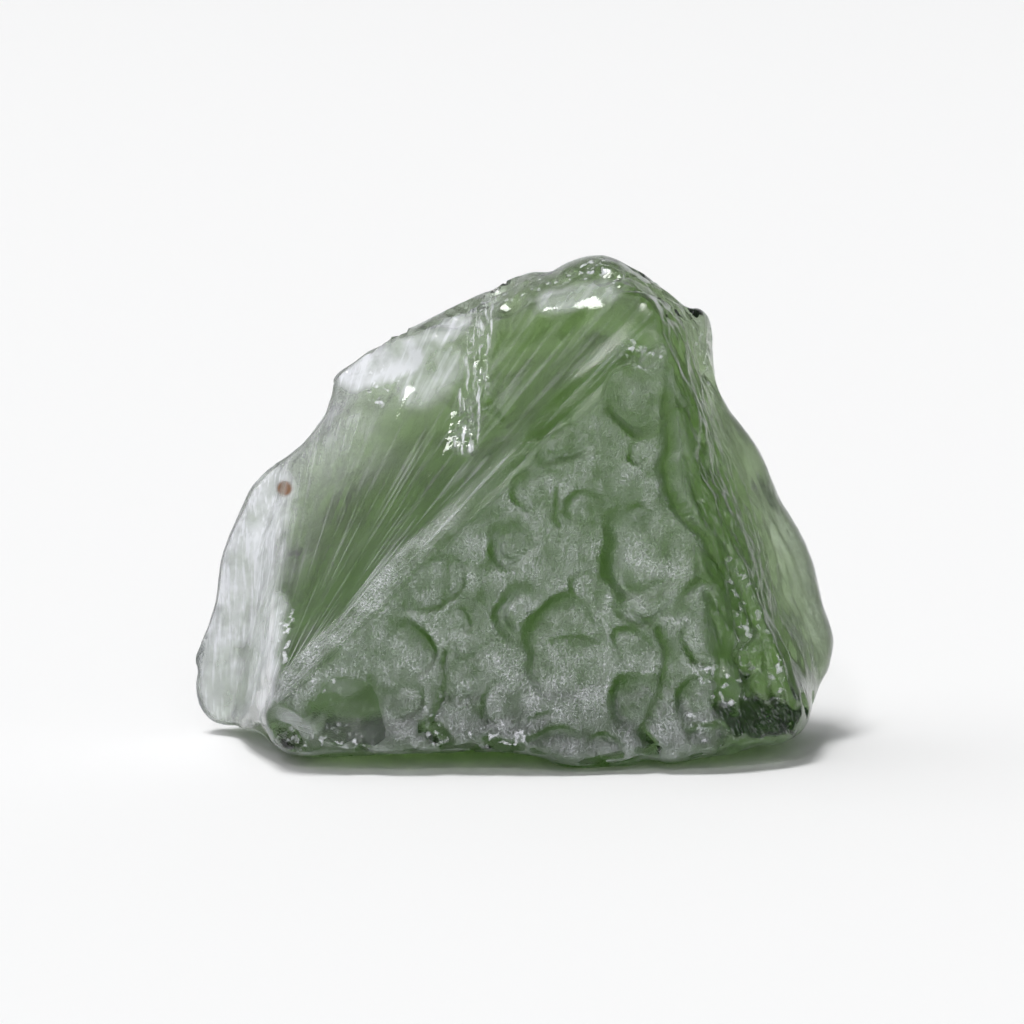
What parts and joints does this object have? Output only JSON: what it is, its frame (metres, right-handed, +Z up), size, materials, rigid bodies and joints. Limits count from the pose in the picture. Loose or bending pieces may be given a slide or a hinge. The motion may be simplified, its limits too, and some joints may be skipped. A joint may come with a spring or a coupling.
{
  "type": "raw moldavite",
  "caption": "Raw chip of green natural glass with a pitted skin, a smooth conchoidal break and a thin translucent edge, standing on a small flat foot.",
  "frame": {"origin": "on the surface that the stone stands on, under the middle of its bounding box", "axes": "+Z up, +X to the right along the stone's width, -Y towards the viewer, out of the pitted front"},
  "size_m": [0.0182, 0.0094, 0.0136],
  "materials": {
    "moldavite_glass": "bottle-green translucent natural glass, frosted on the pitted skin and glossy on the fresh break"
  },
  "bodies": {
    "root": {"moldavite": "moldavite_glass"}
  },
  "joints": []
}
